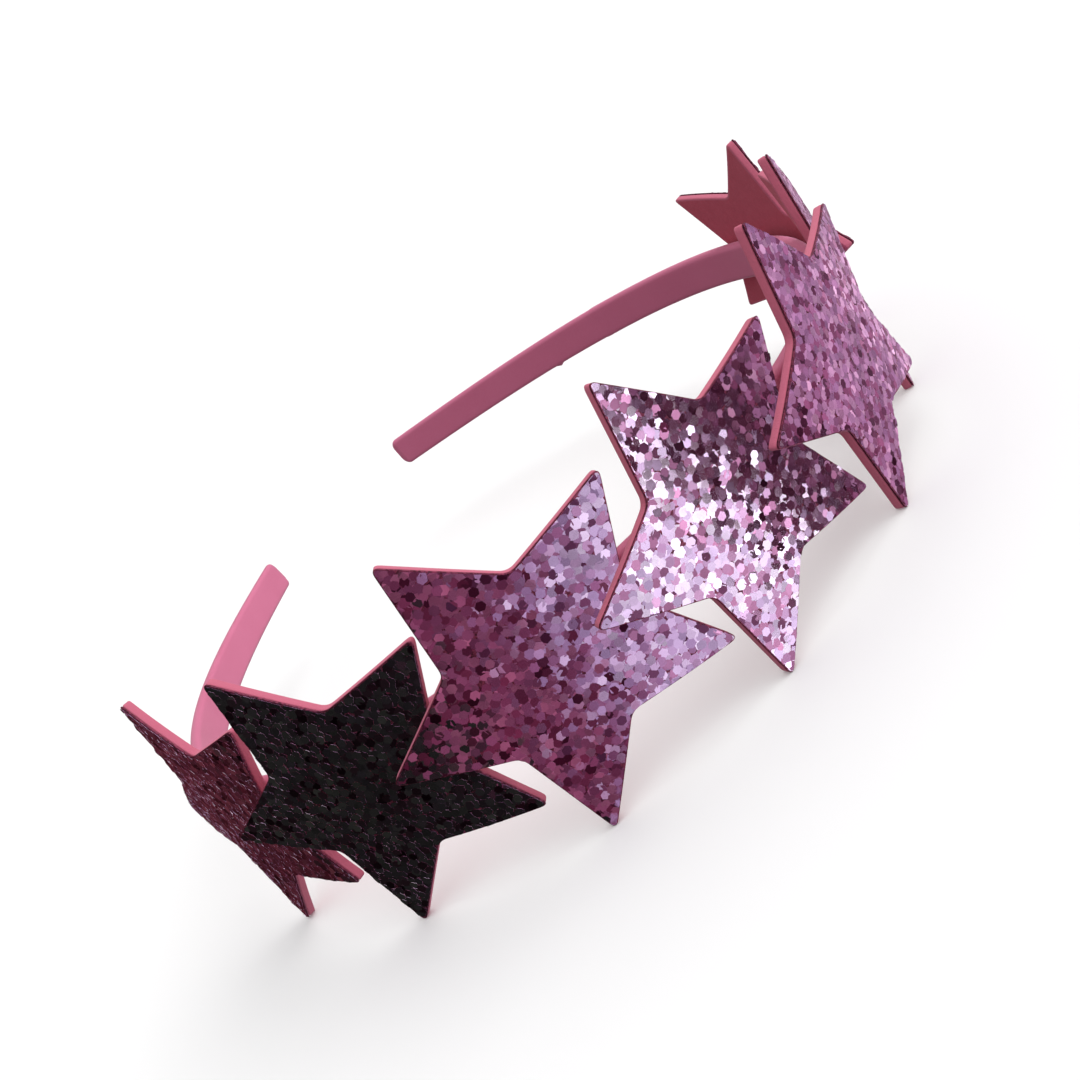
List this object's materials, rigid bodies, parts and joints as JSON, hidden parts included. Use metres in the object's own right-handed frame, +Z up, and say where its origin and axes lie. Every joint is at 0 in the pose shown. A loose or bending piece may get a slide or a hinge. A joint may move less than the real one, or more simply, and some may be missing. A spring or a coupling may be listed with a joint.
{
  "type": "star headband",
  "caption": "U-shaped hair band with felt-backed glitter stars overlapping along its crown, worn over the head; it lies on its side on the star points.",
  "frame": {"origin": "middle of the floor under the headband as it lies on its side, at the bottom centre of its bounding box", "axes": "+Z up, along the width of the band; -Y towards the crown and the stars, +Y towards the leg ends; +X from the first star to the last"},
  "size_m": [0.1292, 0.153, 0.039],
  "materials": {
    "band": "smooth pink satin-covered strip",
    "felt": "pink felt backing",
    "glitter": "chunky mauve glitter in a clear coat"
  },
  "bodies": {
    "root": {"band": "band", "star_1_felt": "felt", "star_1_glitter": "glitter", "star_2_felt": "felt", "star_2_glitter": "glitter", "star_3_felt": "felt", "star_3_glitter": "glitter", "star_4_felt": "felt", "star_4_glitter": "glitter", "star_5_felt": "felt", "star_5_glitter": "glitter", "star_6_felt": "felt", "star_6_glitter": "glitter", "star_7_felt": "felt", "star_7_glitter": "glitter"}
  },
  "joints": []
}
